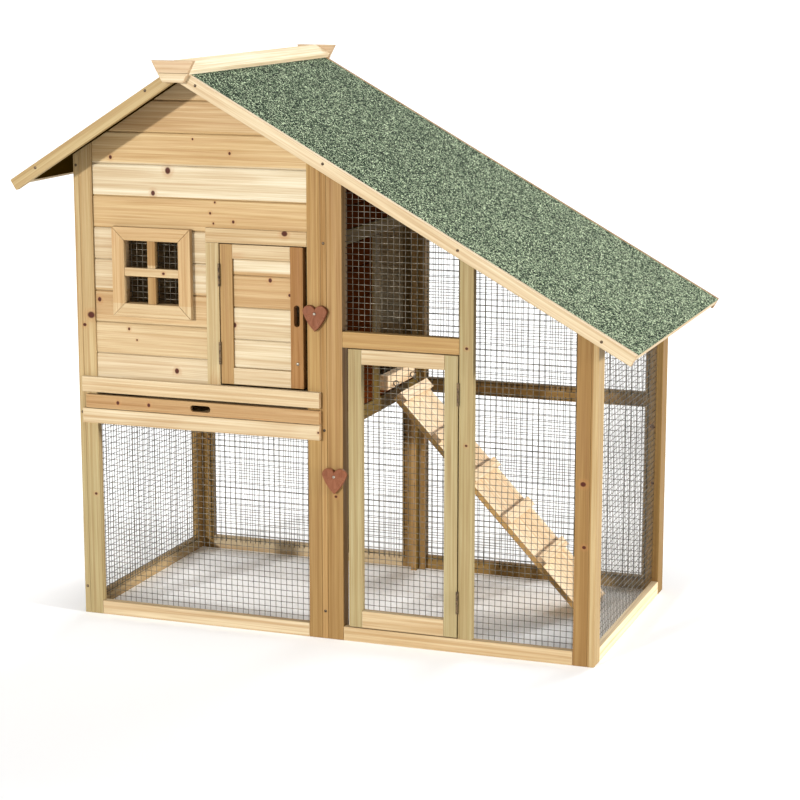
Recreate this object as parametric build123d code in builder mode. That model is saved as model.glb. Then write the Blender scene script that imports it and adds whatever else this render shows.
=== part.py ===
"""Two-storey rabbit hutch: a raised gabled house with a pull-out tray beside a wire run.

Frame: +Z up, origin on the floor under the middle of the roof, front towards -Y, run towards +X.
"""
import math
import os

from build123d import *

os.makedirs("parts", exist_ok=True)

# Driving dimensions, in millimetres and degrees

# Body
house_width = 573.0
run_length = 577.0
body_depth = 600.0
seat_gap = 0.2

# Frame timber
wall_thickness = 13.0
wall_stile_width = 45.0
end_thickness = 15.0
stile_width = 30.0
frame_thickness = 18.0
corner_post_width = 34.0
rear_post_width = 15.0
corner_post_depth = 32.0
bottom_rail_height = 30.0
top_rail_height = 34.0

# Shiplap boards
board_pitch = 67.5
board_gap = 0.4
board_groove = 2.5
board_thickness = 12.0
board_inset = 4.0
wall_board_thickness = 10.0
wall_board_inset = 1.5
front_board_base = 513.0

# House floor, tray and the boards laid over the front
floor_top = 461.0
floor_thickness = 12.0
bearer_depth = 14.0
bearer_height = 20.0
overlay_thickness = 12.0
floor_rail_height = 32.0
sill_bottom = 497.0
sill_height = 33.0
tray_front_height = 29.0
tray_front_margin = 9.0
tray_rail_gap = 1.5
tray_side_gap = 3.0
tray_lift = 0.4
tray_back_gap = 60.0
tray_sheet = 4.0
tray_wall = 8.0
tray_wall_height = 22.0
tray_slot_length = 47.0
tray_slot_height = 14.0
tray_slot_from_left = 290.0

# Window
window_from_left = 181.5
window_centre_height = 760.0
window_opening_width = 125.0
window_opening_height = 134.0
window_frame_width = 28.0
window_frame_thickness = 14.0
window_mitre_gap = 0.3
muntin_width = 18.0
muntin_thickness = 12.0

# House door
jamb_from_left = 303.0
jamb_width = 30.0
jamb_thickness = 16.0
header_top = 860.0
door_bottom = 533.0
door_clearance = 2.0
door_latch_gap = 9.0
door_thickness = 18.0
door_stile_width = 28.0
door_top_rail = 30.0
door_bottom_rail = 35.0
door_panel_thickness = 8.0
door_panel_inset = 5.0
door_board_base = 561.0
hand_slot_height = 45.0
hand_slot_width = 12.5
hand_slot_centre = 685.0

# Butt hinges, shared by both doors
hinge_gap = 2.4
hinge_length = 48.0
hinge_plate = 0.8
hinge_plate_depth = 15.0
knuckle_radius = 2.5
pin_radius = 1.2
pin_clearance = 0.05
knuckle_gap = 0.3
knuckle_stand = 0.5
house_hinge_low = 574.0
house_hinge_high = 739.0
run_hinge_low = 84.0
run_hinge_high = 521.0

# Run
head_rail_bottom = 626.0
head_rail_height = 33.0
mid_post_from_left = 859.7
mid_post_width = 30.0
run_door_left_gap = 12.5
run_door_clearance = 2.0
run_door_stile = 29.0
run_door_top_rail = 31.0
run_door_bottom_rail = 36.0
back_rail_bottom = 423.0
back_rail_height = 33.0

# Wire netting, each bar standing for six wires
net_thickness = 1.2
net_lap = 10.0
net_pitch = 76.2
net_bar = 3.2

# Heart turn buttons
heart_width = 54.0
heart_top = 17.0
heart_tip = 37.0
heart_notch = 9.0
heart_lobe_from_middle = 13.5
heart_shoulder = 4.2
heart_waist_width = 33.5
heart_waist_drop = 17.4
heart_thickness = 9.0
heart_edge = 1.2
heart_stand = 0.6
screw_radius = 2.2
screw_head_radius = 3.2
screw_head_height = 1.6
screw_head_slope = 30.0
screw_bite = 14.0
screw_clearance = 0.05
house_heart_from_left = 550.0
house_heart_height = 694.0
run_heart_from_left = 590.5
run_heart_height = 354.0

# Partition doorway and ramp
doorway_from_front = 315.0
lintel_bottom = 822.0
lintel_height = 30.0
batten_height = 32.0
batten_bottom = 476.0
batten_thickness = 18.0
ramp_from_front = 405.0
ramp_slope = 46.5
ramp_width = 178.0
ramp_thickness = 12.0
ramp_top_from_partition = 30.0
ramp_top_height = 458.0
ramp_foot_gap = 0.3
cleat_spacing = 117.0
cleat_width = 24.0
cleat_height = 11.0
cleat_count = 5
eye_ring_radius = 6.0
eye_wire = 1.3
wire_sides = 8
eye_bite = 8.0
eye_height = 486.0
eye_spread = 110.0
hook_wire = 1.3
hook_reach = 14.0
hook_bend = 2.6
hook_slack = 0.3

# Roof
ridge_from_left = 279.0
ridge_height = 1195.0
left_pitch = 32.2
right_pitch = 28.9
left_eave_overhang = 106.0
right_eave_overhang = 95.0
verge_overhang = 80.0
verge_height = 25.0
verge_thickness = 14.0
fascia_thickness = 12.0
felt_thickness = 2.5
deck_thickness = 12.0
ridge_cap_width = 35.0
ridge_cap_thickness = 11.0
trim_thickness = 12.0
trim_top_rise = 12.0
trim_upper_height = 25.0
trim_lower_height = 19.0
trim_top_width = 94.0
trim_seam_width = 68.0
trim_foot_width = 45.0
trim_gap = 0.4

# Places worked out from the sizes above

roof_width = left_eave_overhang + house_width + run_length + right_eave_overhang
house_left = left_eave_overhang - roof_width / 2
left_wall_inside = house_left + wall_thickness
partition_right = house_left + house_width
partition_left = partition_right - wall_thickness
corner_post_right = partition_right + corner_post_width
rear_post_right = partition_right + rear_post_width
run_right = partition_right + run_length
end_panel_left = run_right - end_thickness
front_y = -body_depth / 2
back_y = body_depth / 2
frame_back_y = front_y + frame_thickness
rear_frame_y = back_y - frame_thickness
wall_front_y = front_y + wall_stile_width
wall_back_y = back_y - wall_stile_width
panel_left = left_wall_inside + stile_width
panel_right = partition_left - stile_width
end_stile_left = end_panel_left - stile_width
mid_post_left = house_left + mid_post_from_left
mid_post_right = mid_post_left + mid_post_width
ridge_x = house_left + ridge_from_left
floor_bottom = floor_top - floor_thickness
floor_rail_bottom = floor_top - floor_rail_height
deck_depth = felt_thickness + deck_thickness
verge_y = body_depth / 2 + verge_overhang


def slope_height(x, depth):
    """Height at x of the surface that lies `depth` below the roof's top, square to the slope."""
    if x < ridge_x:
        pitch = math.radians(left_pitch)
    else:
        pitch = math.radians(right_pitch)
    return ridge_height - abs(x - ridge_x) * math.tan(pitch) - depth / math.cos(pitch)


def under_roof(x):
    """Height at x of whatever reaches up to the roof deck."""
    return slope_height(x, deck_depth) - seat_gap


def under_ridge():
    """Height of whatever reaches up to both decks where they meet."""
    steeper = math.radians(max(left_pitch, right_pitch))
    return ridge_height - deck_depth / math.cos(steeper) - seat_gap


def under_top_rail(x):
    """Height at x of whatever reaches up to a sloping top rail of the run."""
    return under_roof(x) - top_rail_height


def at_y(y):
    """Upright sketch plane across the hutch: local x is X, local y is Z."""
    return Plane.XZ.offset(-y)


def at_x(x):
    """Upright sketch plane along the depth: local x is Y, local y is Z."""
    return Plane.YZ.offset(x)


def slab(points, y_near, y_far):
    """Flat outline in X and Z, from y_near to y_far."""
    with BuildSketch(at_y(y_far)) as outline:
        with BuildLine():
            Polyline(*points, close=True)
        make_face()
    extrude(outline.sketch, amount=y_far - y_near)


def bar(x0, x1, y0, y1, z0, z1):
    """Square-cut bar or sheet between two corners."""
    slab([(x0, z0), (x1, z0), (x1, z1), (x0, z1)], y0, y1)


def post(x0, x1, y0, y1, z0, top):
    """Upright cut to a slope at its top: top(x) gives the height of the cut."""
    slab([(x0, z0), (x1, z0), (x1, top(x1)), (x0, top(x0))], y0, y1)


def sloping_rail(x0, x1, y0, y1):
    """Rail under the roof deck, between two uprights."""
    outline = [
        (x0, under_top_rail(x0)),
        (x1, under_top_rail(x1)),
        (x1, under_roof(x1)),
        (x0, under_roof(x0)),
    ]
    slab(outline, y0, y1)


def board_profile(outer, inner, z0, z1):
    """Section of one shiplap board, with its V groove on the outer face."""
    inward = math.copysign(board_groove, inner - outer)
    with BuildLine() as section:
        Polyline(
            (inner, z0),
            (outer + inward, z0),
            (outer, z0 + board_groove),
            (outer, z1 - board_groove),
            (outer + inward, z1),
            (inner, z1),
            close=True,
        )
    make_face(section.edges())


def board_rows(base, bottom, top):
    """Lower and upper edge of each board in a wall, on a pitch that starts at base."""
    rows = []
    for index in range(math.ceil((top - base) / board_pitch)):
        low = max(base + index * board_pitch, bottom)
        high = min(base + (index + 1) * board_pitch, top) - board_gap
        if high - low > 2 * board_groove + board_gap:
            rows.append((low, high))
    return rows


def boards_across(x0, x1, outer, inner, base, bottom, top):
    """Wall of boards that run along X."""
    for low, high in board_rows(base, bottom, top):
        with BuildSketch(at_x(x0)) as section:
            board_profile(outer, inner, low, high)
        extrude(section.sketch, amount=x1 - x0)


def boards_along(y0, y1, outer, inner, base, bottom, top):
    """Wall of boards that run along Y."""
    for low, high in board_rows(base, bottom, top):
        with BuildSketch(at_y(y1)) as section:
            board_profile(outer, inner, low, high)
        extrude(section.sketch, amount=y1 - y0)


def net_outline(x0, x1, z0, high_left, high_right):
    """Four-sided net, its upper edge level or sloping."""
    with BuildLine() as edge:
        Polyline((x0, z0), (x1, z0), (x1, high_right), (x0, high_left), close=True)
    return edge.edges()


def net_sheet(plane, x0, x1, z0, high_left, high_right):
    """Net on a plane: a sheet with a grid of square gaps that stop short of its edges."""
    width = x1 - x0
    height = max(high_left, high_right) - z0
    columns = max(1, round(width / net_pitch))
    rows = max(1, round(height / net_pitch))
    step_u = (width - net_bar) / columns
    step_v = (height - net_bar) / rows
    middle_u = (x0 + x1) / 2
    middle_v = z0 + height / 2
    with BuildSketch(plane) as gaps:
        with Locations((middle_u, middle_v)):
            with GridLocations(step_u, step_v, columns, rows):
                Rectangle(step_u - net_bar, step_v - net_bar)
        make_face(
            net_outline(x0, x1, z0, high_left - net_bar, high_right - net_bar),
            mode=Mode.INTERSECT,
        )
    with BuildSketch(plane) as net:
        make_face(net_outline(x0, x1, z0, high_left, high_right))
        add(gaps.sketch_local, mode=Mode.SUBTRACT)
    extrude(net.sketch, amount=net_thickness)


def net_across(x0, x1, z0, z1, y):
    """Net facing the front, from y backwards."""
    net_sheet(at_y(y + net_thickness), x0, x1, z0, z1, z1)


def net_under_rail(x0, x1, z0, y):
    """Net facing the front whose upper edge laps the sloping top rail."""
    high_left = under_top_rail(x0) + net_lap
    high_right = under_top_rail(x1) + net_lap
    net_sheet(at_y(y + net_thickness), x0, x1, z0, high_left, high_right)


def net_along(y0, y1, z0, z1, x):
    """Net facing the side, from x to the right."""
    net_sheet(at_x(x), y0, y1, z0, z1, z1)


def finish(piece, name):
    """Label a piece and write it to its own file."""
    piece.part.label = name
    export_step(piece.part, f"parts/{name}.step")


# House frame

with BuildPart() as house_stiles:
    for near_y in (front_y, rear_frame_y):
        post(left_wall_inside, panel_left, near_y, near_y + frame_thickness, 0, under_roof)
        post(panel_right, partition_left, near_y, near_y + frame_thickness, 0, under_roof)
finish(house_stiles, "house_stiles")

with BuildPart() as left_wall_stiles:
    post(house_left, left_wall_inside, front_y, wall_front_y, 0, under_roof)
    post(house_left, left_wall_inside, wall_back_y, back_y, 0, under_roof)
finish(left_wall_stiles, "left_wall_stiles")

left_rail_base = under_roof(house_left) - top_rail_height
with BuildPart() as left_wall_rails:
    bar(house_left, left_wall_inside, wall_front_y, wall_back_y, 0, bottom_rail_height)
    bar(house_left, left_wall_inside, wall_front_y, wall_back_y, floor_rail_bottom, floor_top)
    post(house_left, left_wall_inside, wall_front_y, wall_back_y, left_rail_base, under_roof)
finish(left_wall_rails, "left_wall_rails")

with BuildPart() as left_wall_boards:
    boards_along(
        wall_front_y,
        wall_back_y,
        house_left + wall_board_inset,
        house_left + wall_board_inset + wall_board_thickness,
        front_board_base - board_pitch,
        floor_top,
        left_rail_base,
    )
finish(left_wall_boards, "left_wall_boards")

doorway_front = front_y + doorway_from_front
doorway_post_front = doorway_front - wall_stile_width
lintel_top = lintel_bottom + lintel_height
with BuildPart() as partition_stiles:
    post(partition_left, partition_right, front_y, wall_front_y, 0, under_roof)
    post(partition_left, partition_right, wall_back_y, back_y, 0, under_roof)
    bar(partition_left, partition_right, doorway_post_front, doorway_front, floor_top, lintel_bottom)
finish(partition_stiles, "partition_stiles")

partition_rail_base = under_roof(partition_right) - top_rail_height
with BuildPart() as partition_rails:
    bar(partition_left, partition_right, wall_front_y, wall_back_y, floor_rail_bottom, floor_top)
    bar(partition_left, partition_right, wall_front_y, wall_back_y, lintel_bottom, lintel_top)
    post(partition_left, partition_right, wall_front_y, wall_back_y, partition_rail_base, under_roof)
finish(partition_rails, "partition_rails")

partition_face = partition_right - wall_board_inset
partition_fields = (
    (wall_front_y, doorway_post_front, floor_top, lintel_bottom),
    (doorway_front, wall_back_y, floor_top, sill_bottom),
    (wall_front_y, wall_back_y, lintel_top, partition_rail_base),
)
with BuildPart() as partition_boards:
    for field_front, field_back, field_low, field_high in partition_fields:
        boards_along(
            field_front,
            field_back,
            partition_face,
            partition_face - wall_board_thickness,
            sill_bottom - board_pitch,
            field_low,
            field_high,
        )
finish(partition_boards, "partition_boards")

with BuildPart() as corner_posts:
    post(partition_right, corner_post_right, front_y, front_y + corner_post_depth, 0, under_roof)
    post(partition_right, rear_post_right, back_y - corner_post_depth, back_y, 0, under_roof)
finish(corner_posts, "corner_posts")

# House front

window_x = house_left + window_from_left
window_left = window_x - window_opening_width / 2
window_right = window_x + window_opening_width / 2
window_low = window_centre_height - window_opening_height / 2
window_high = window_centre_height + window_opening_height / 2
jamb_left = house_left + jamb_from_left
jamb_right = jamb_left + jamb_width
board_front = front_y + board_inset
board_back = board_front + board_thickness


def gable_boards(outer, inner, base, bottom):
    """Boards of a gable wall, cut to the two roof slopes."""
    peak = under_ridge()
    boards_across(panel_left, panel_right, outer, inner, base, bottom, peak)
    with BuildSketch(at_y(max(outer, inner))) as above_roof:
        with BuildLine():
            Polyline(
                (panel_left, under_roof(panel_left)),
                (ridge_x, peak),
                (panel_right, under_roof(panel_right)),
                (panel_right, ridge_height),
                (panel_left, ridge_height),
                close=True,
            )
        make_face()
    extrude(above_roof.sketch, amount=abs(outer - inner), mode=Mode.SUBTRACT)


with BuildPart() as house_front_boards:
    gable_boards(board_front, board_back, front_board_base, front_board_base)
    with BuildSketch(at_y(board_back)):
        with Locations((window_x, window_centre_height)):
            Rectangle(window_opening_width, window_opening_height)
        with Locations(((jamb_left + panel_right) / 2, header_top / 2)):
            Rectangle(panel_right - jamb_left, header_top)
    extrude(amount=board_thickness, mode=Mode.SUBTRACT)
finish(house_front_boards, "house_front_boards")

with BuildPart() as house_back_boards:
    gable_boards(-board_front, -board_back, front_board_base - board_pitch, floor_top)
finish(house_back_boards, "house_back_boards")

with BuildPart() as house_back_rails:
    bar(panel_left, panel_right, rear_frame_y, back_y, 0, bottom_rail_height)
    bar(panel_left, panel_right, rear_frame_y, back_y, floor_rail_bottom, floor_top)
finish(house_back_rails, "house_back_rails")

half_width = window_opening_width / 2
half_height = window_opening_height / 2
with BuildPart() as window_frame:
    with BuildSketch(at_y(board_front)):
        with Locations((window_x, window_centre_height)):
            Rectangle(
                window_opening_width + 2 * window_frame_width,
                window_opening_height + 2 * window_frame_width,
            )
            Rectangle(window_opening_width, window_opening_height, mode=Mode.SUBTRACT)
        for side_x in (-1, 1):
            for side_z in (-1, 1):
                corner = (window_x + side_x * half_width, window_centre_height + side_z * half_height)
                with Locations(Location(corner, 45 * side_x * side_z)):
                    Rectangle(4 * window_frame_width, window_mitre_gap, mode=Mode.SUBTRACT)
    extrude(amount=window_frame_thickness)
finish(window_frame, "window_frame")

with BuildPart() as window_muntins:
    with BuildSketch(at_y(board_front)):
        with Locations((window_x, window_centre_height)):
            Rectangle(muntin_width, window_opening_height)
            Rectangle(muntin_width, muntin_width + 2 * seat_gap, mode=Mode.SUBTRACT)
            Rectangle(window_opening_width, muntin_width)
    extrude(amount=muntin_thickness)
finish(window_muntins, "window_muntins")

with BuildPart() as window_net:
    net_across(
        window_left - net_lap,
        window_right + net_lap,
        window_low - net_lap,
        window_high + net_lap,
        board_back,
    )
finish(window_net, "window_net")

header_bottom = header_top - jamb_width
with BuildPart() as door_surround:
    jamb_back = front_y + jamb_thickness
    bar(jamb_left, jamb_right, front_y, jamb_back, front_board_base, header_bottom - seat_gap)
    bar(jamb_left, panel_right, front_y, jamb_back, header_bottom, header_top)
finish(door_surround, "door_surround")

overlay_front = front_y - overlay_thickness
with BuildPart() as house_front_rails:
    bar(left_wall_inside, partition_left, overlay_front, front_y, sill_bottom, sill_bottom + sill_height)
    bar(left_wall_inside, partition_left, overlay_front, front_y, floor_rail_bottom, floor_top)
    bar(panel_left, panel_right, front_y, frame_back_y, 0, bottom_rail_height)
finish(house_front_rails, "house_front_rails")

# House floor and lower netting

with BuildPart() as house_floor:
    bar(left_wall_inside, partition_left, frame_back_y, rear_frame_y, floor_bottom, floor_top)
finish(house_floor, "house_floor")

bearer_bottom = floor_bottom - bearer_height
bearer_front = frame_back_y + net_thickness
bearer_rear = rear_frame_y - net_thickness
with BuildPart() as floor_bearers:
    for bearer_y in (bearer_front, bearer_rear - bearer_depth):
        bearer_far = bearer_y + bearer_depth
        bar(left_wall_inside, partition_left, bearer_y, bearer_far, bearer_bottom, floor_bottom)
finish(floor_bearers, "floor_bearers")

net_low = bottom_rail_height - net_lap
house_net_high = bearer_bottom + net_lap
with BuildPart() as house_front_net:
    net_across(panel_left - net_lap, panel_right + net_lap, net_low, house_net_high, frame_back_y)
finish(house_front_net, "house_front_net")

with BuildPart() as house_back_net:
    net_across(panel_left - net_lap, panel_right + net_lap, net_low, house_net_high, bearer_rear)
finish(house_back_net, "house_back_net")

with BuildPart() as left_wall_net:
    net_along(
        wall_front_y - net_lap,
        wall_back_y + net_lap,
        net_low,
        floor_rail_bottom + net_lap,
        left_wall_inside,
    )
finish(left_wall_net, "left_wall_net")

# Pull-out tray

tray_left = panel_left + tray_side_gap
tray_right = panel_right - tray_side_gap
tray_low = floor_top + tray_lift
tray_floor = tray_low + tray_sheet
tray_front_low = floor_top + tray_rail_gap
tray_back = back_y - tray_back_gap

with BuildPart() as tray_front:
    bar(
        left_wall_inside + tray_front_margin,
        partition_left - seat_gap,
        overlay_front,
        front_y,
        tray_front_low,
        tray_front_low + tray_front_height,
    )
    with BuildSketch(at_y(front_y)):
        with Locations((house_left + tray_slot_from_left, tray_front_low + tray_front_height / 2)):
            SlotOverall(tray_slot_length, tray_slot_height)
    extrude(amount=overlay_thickness, mode=Mode.SUBTRACT)
finish(tray_front, "tray_front")

with BuildPart() as tray_bottom:
    bar(tray_left, tray_right, front_y, tray_back, tray_low, tray_floor)
finish(tray_bottom, "tray_bottom")

tray_rim = tray_floor + tray_wall_height
with BuildPart() as tray_walls:
    bar(tray_left, tray_left + tray_wall, front_y, tray_back, tray_floor, tray_rim)
    bar(tray_right - tray_wall, tray_right, front_y, tray_back, tray_floor, tray_rim)
    bar(
        tray_left + tray_wall + seat_gap,
        tray_right - tray_wall - seat_gap,
        tray_back - tray_wall,
        tray_back,
        tray_floor,
        tray_rim,
    )
finish(tray_walls, "tray_walls")

# House door

door_left = jamb_right + hinge_gap
door_right = panel_right - door_latch_gap
door_top = header_bottom - door_clearance
door_back = front_y + door_thickness
door_panel_left = door_left + door_stile_width
door_panel_right = door_right - door_stile_width
door_panel_low = door_bottom + door_bottom_rail
door_panel_high = door_top - door_top_rail
door_panel_front = front_y + door_panel_inset

with BuildPart() as house_door_stiles:
    bar(door_left, door_panel_left, front_y, door_back, door_bottom, door_top)
    bar(door_panel_right, door_right, front_y, door_back, door_bottom, door_top)
    with BuildSketch(at_y(door_back)):
        with Locations(Location((door_right - door_stile_width / 2, hand_slot_centre), 90)):
            SlotOverall(hand_slot_height, hand_slot_width)
    extrude(amount=door_thickness, mode=Mode.SUBTRACT)
finish(house_door_stiles, "house_door_stiles")

with BuildPart() as house_door_rails:
    bar(door_panel_left, door_panel_right, front_y, door_back, door_bottom, door_panel_low)
    bar(door_panel_left, door_panel_right, front_y, door_back, door_panel_high, door_top)
finish(house_door_rails, "house_door_rails")

with BuildPart() as house_door_boards:
    boards_across(
        door_panel_left,
        door_panel_right,
        door_panel_front,
        door_panel_front + door_panel_thickness,
        door_board_base,
        door_panel_low,
        door_panel_high,
    )
finish(house_door_boards, "house_door_boards")

# Run front and back

front_net_start = corner_post_right + seat_gap
rear_net_start = rear_post_right + seat_gap
head_rail_top = head_rail_bottom + head_rail_height
back_rail_top = back_rail_bottom + back_rail_height
with BuildPart() as run_rails:
    bar(corner_post_right, end_stile_left, front_y, frame_back_y, 0, bottom_rail_height)
    bar(rear_post_right, end_stile_left, rear_frame_y, back_y, 0, bottom_rail_height)
    bar(corner_post_right, mid_post_left, front_y, frame_back_y, head_rail_bottom, head_rail_top)
    bar(rear_post_right, end_stile_left, rear_frame_y, back_y, back_rail_bottom, back_rail_top)
finish(run_rails, "run_rails")

with BuildPart() as run_top_rails:
    sloping_rail(corner_post_right, end_stile_left, front_y, frame_back_y)
    sloping_rail(rear_post_right, end_stile_left, rear_frame_y, back_y)
finish(run_top_rails, "run_top_rails")

with BuildPart() as run_stiles:
    post(mid_post_left, mid_post_right, front_y, frame_back_y, bottom_rail_height, under_top_rail)
    post(end_stile_left, end_panel_left, front_y, frame_back_y, 0, under_roof)
    post(end_stile_left, end_panel_left, rear_frame_y, back_y, 0, under_roof)
finish(run_stiles, "run_stiles")


run_net_end = end_stile_left + net_lap
with BuildPart() as run_front_nets:
    net_under_rail(front_net_start, mid_post_left + net_lap, head_rail_top - net_lap, frame_back_y)
    net_under_rail(mid_post_right - net_lap, run_net_end, net_low, frame_back_y)
finish(run_front_nets, "run_front_nets")

rear_net_y = rear_frame_y - net_thickness
with BuildPart() as run_back_nets:
    net_across(rear_net_start, run_net_end, net_low, back_rail_bottom + net_lap, rear_net_y)
    net_under_rail(rear_net_start, run_net_end, back_rail_top - net_lap, rear_net_y)
finish(run_back_nets, "run_back_nets")

# Run end panel

end_rail_base = under_roof(run_right) - top_rail_height
with BuildPart() as end_panel_stiles:
    post(end_panel_left, run_right, front_y, wall_front_y, 0, under_roof)
    post(end_panel_left, run_right, wall_back_y, back_y, 0, under_roof)
finish(end_panel_stiles, "end_panel_stiles")

with BuildPart() as end_panel_rails:
    bar(end_panel_left, run_right, wall_front_y, wall_back_y, 0, bottom_rail_height)
    post(end_panel_left, run_right, wall_front_y, wall_back_y, end_rail_base, under_roof)
finish(end_panel_rails, "end_panel_rails")

with BuildPart() as end_panel_net:
    net_along(
        wall_front_y - net_lap,
        wall_back_y + net_lap,
        net_low,
        end_rail_base + net_lap,
        end_panel_left - net_thickness,
    )
finish(end_panel_net, "end_panel_net")

# Run door

run_door_left = corner_post_right + run_door_left_gap
run_door_right = mid_post_left - hinge_gap
run_door_low = bottom_rail_height + run_door_clearance
run_door_high = head_rail_bottom - run_door_clearance
run_panel_left = run_door_left + run_door_stile
run_panel_right = run_door_right - run_door_stile
run_panel_low = run_door_low + run_door_bottom_rail
run_panel_high = run_door_high - run_door_top_rail

with BuildPart() as run_door_stiles:
    bar(run_door_left, run_panel_left, front_y, door_back, run_door_low, run_door_high)
    bar(run_panel_right, run_door_right, front_y, door_back, run_door_low, run_door_high)
finish(run_door_stiles, "run_door_stiles")

with BuildPart() as run_door_rails:
    bar(run_panel_left, run_panel_right, front_y, door_back, run_door_low, run_panel_low)
    bar(run_panel_left, run_panel_right, front_y, door_back, run_panel_high, run_door_high)
finish(run_door_rails, "run_door_rails")

with BuildPart() as run_door_net:
    net_across(
        run_panel_left - net_lap,
        run_panel_right + net_lap,
        run_panel_low - net_lap,
        run_panel_high + net_lap,
        door_back,
    )
finish(run_door_net, "run_door_net")

# Butt hinges: the fixed leaf has the outer knuckles and the pin, the swinging leaf the middle one

knuckle_y = front_y - knuckle_stand - knuckle_radius
knuckle_length = hinge_length / 3
plate_near = hinge_gap / 2 - hinge_plate


def hinge_leaf(axis_x, low, side, knuckles):
    """Plate of one leaf on its side of the pin, joined to its knuckles by short webs."""
    near = axis_x + side * plate_near
    far = axis_x + side * hinge_gap / 2
    x0, x1 = min(near, far), max(near, far)
    bar(x0, x1, front_y, front_y + hinge_plate_depth, low, low + hinge_length)
    for index in knuckles:
        z0 = low + index * knuckle_length + knuckle_gap
        z1 = low + (index + 1) * knuckle_length - knuckle_gap
        bar(x0, x1, knuckle_y + pin_radius + hinge_plate, front_y, z0, z1)
        with BuildSketch(Plane.XY.offset(z0)) as knuckle:
            with Locations((axis_x, knuckle_y)):
                Circle(knuckle_radius)
                Circle(pin_radius + pin_clearance, mode=Mode.SUBTRACT)
        extrude(knuckle.sketch, amount=z1 - z0)


def hinge_pin(axis_x, low):
    """Pin held by the outer knuckles."""
    for index in (0, 2):
        with BuildSketch(Plane.XY.offset(low + index * knuckle_length + knuckle_gap)) as plug:
            with Locations((axis_x, knuckle_y)):
                Circle(pin_radius + 2 * pin_clearance)
        extrude(plug.sketch, amount=knuckle_length - 2 * knuckle_gap)
    with BuildSketch(Plane.XY.offset(low + knuckle_gap)) as pin:
        with Locations((axis_x, knuckle_y)):
            Circle(pin_radius)
    extrude(pin.sketch, amount=hinge_length - 2 * knuckle_gap)


house_hinge_x = jamb_right + hinge_gap / 2
run_hinge_x = mid_post_left - hinge_gap / 2

with BuildPart() as house_hinge_fixed:
    for hinge_low in (house_hinge_low, house_hinge_high):
        hinge_leaf(house_hinge_x, hinge_low, -1, (0, 2))
        hinge_pin(house_hinge_x, hinge_low)
finish(house_hinge_fixed, "house_hinge_fixed")

with BuildPart() as house_hinge_swinging:
    for hinge_low in (house_hinge_low, house_hinge_high):
        hinge_leaf(house_hinge_x, hinge_low, 1, (1,))
finish(house_hinge_swinging, "house_hinge_swinging")

with BuildPart() as run_hinge_fixed:
    for hinge_low in (run_hinge_low, run_hinge_high):
        hinge_leaf(run_hinge_x, hinge_low, 1, (0, 2))
        hinge_pin(run_hinge_x, hinge_low)
finish(run_hinge_fixed, "run_hinge_fixed")

with BuildPart() as run_hinge_swinging:
    for hinge_low in (run_hinge_low, run_hinge_high):
        hinge_leaf(run_hinge_x, hinge_low, -1, (1,))
finish(run_hinge_swinging, "run_hinge_swinging")

# Heart turn buttons

heart_back = front_y - heart_stand
heart_front = heart_back - heart_thickness
heart_places = {
    "house_heart_latch": (house_left + house_heart_from_left, house_heart_height),
    "run_heart_latch": (house_left + run_heart_from_left, run_heart_height),
}


def heart_outline():
    """Heart around its screw: two round lobes above, full sides drawn down to the tip."""
    with BuildLine() as outline:
        for side in (-1, 1):
            lobe = (side * heart_lobe_from_middle, heart_top)
            shoulder = (side * heart_width / 2, heart_shoulder)
            waist = (side * heart_waist_width / 2, -heart_waist_drop)
            ThreePointArc((0, heart_notch), lobe, shoulder)
            ThreePointArc(shoulder, waist, (0, -heart_tip))
    make_face(outline.edges())


for latch_name, latch_place in heart_places.items():
    latch_origin = (latch_place[0], heart_back, latch_place[1])
    latch_plane = Plane(origin=latch_origin, x_dir=(1, 0, 0), z_dir=(0, -1, 0))
    with BuildPart() as latch:
        with BuildSketch(latch_plane):
            heart_outline()
        extrude(amount=heart_thickness)
        chamfer(latch.faces().sort_by(Axis.Y)[0].edges(), heart_edge)
        with BuildSketch(latch_plane):
            Circle(screw_radius + screw_clearance)
        extrude(amount=heart_thickness, mode=Mode.SUBTRACT)
    finish(latch, latch_name)

with BuildPart() as latch_screws:
    for place in heart_places.values():
        with BuildSketch(at_y(front_y + screw_bite)):
            with Locations(place):
                Circle(screw_radius)
        extrude(amount=screw_bite + heart_stand + heart_thickness + heart_stand)
        with BuildSketch(at_y(heart_front - heart_stand / 2)):
            with Locations(place):
                Circle(screw_head_radius)
        extrude(amount=screw_head_height, taper=screw_head_slope)
finish(latch_screws, "latch_screws")

# Ramp

slope = math.radians(ramp_slope)
ramp_top_x = partition_right + ramp_top_from_partition
ramp_length = (ramp_top_height - ramp_foot_gap) / math.sin(slope)
ramp_y = front_y + ramp_from_front
ramp_plane = Plane(
    origin=(ramp_top_x, ramp_y, ramp_top_height),
    x_dir=(math.cos(slope), 0, -math.sin(slope)),
    z_dir=(0, -1, 0),
)

with BuildPart() as ramp_plank:
    with BuildSketch(ramp_plane):
        Rectangle(ramp_length, ramp_thickness, align=(Align.MIN, Align.MIN))
    extrude(amount=ramp_width / 2, both=True)
finish(ramp_plank, "ramp_plank")

with BuildPart() as ramp_cleats:
    for index in range(cleat_count):
        with BuildSketch(ramp_plane):
            with Locations((index * cleat_spacing, ramp_thickness)):
                Rectangle(cleat_width, cleat_height, align=(Align.MIN, Align.MIN))
        extrude(amount=ramp_width / 2, both=True)
finish(ramp_cleats, "ramp_cleats")

batten_right = partition_right + batten_thickness
with BuildPart() as ramp_batten:
    bar(
        partition_face,
        batten_right,
        ramp_y - ramp_width / 2,
        ramp_y + ramp_width / 2,
        batten_bottom,
        batten_bottom + batten_height,
    )
finish(ramp_batten, "ramp_batten")

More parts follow.
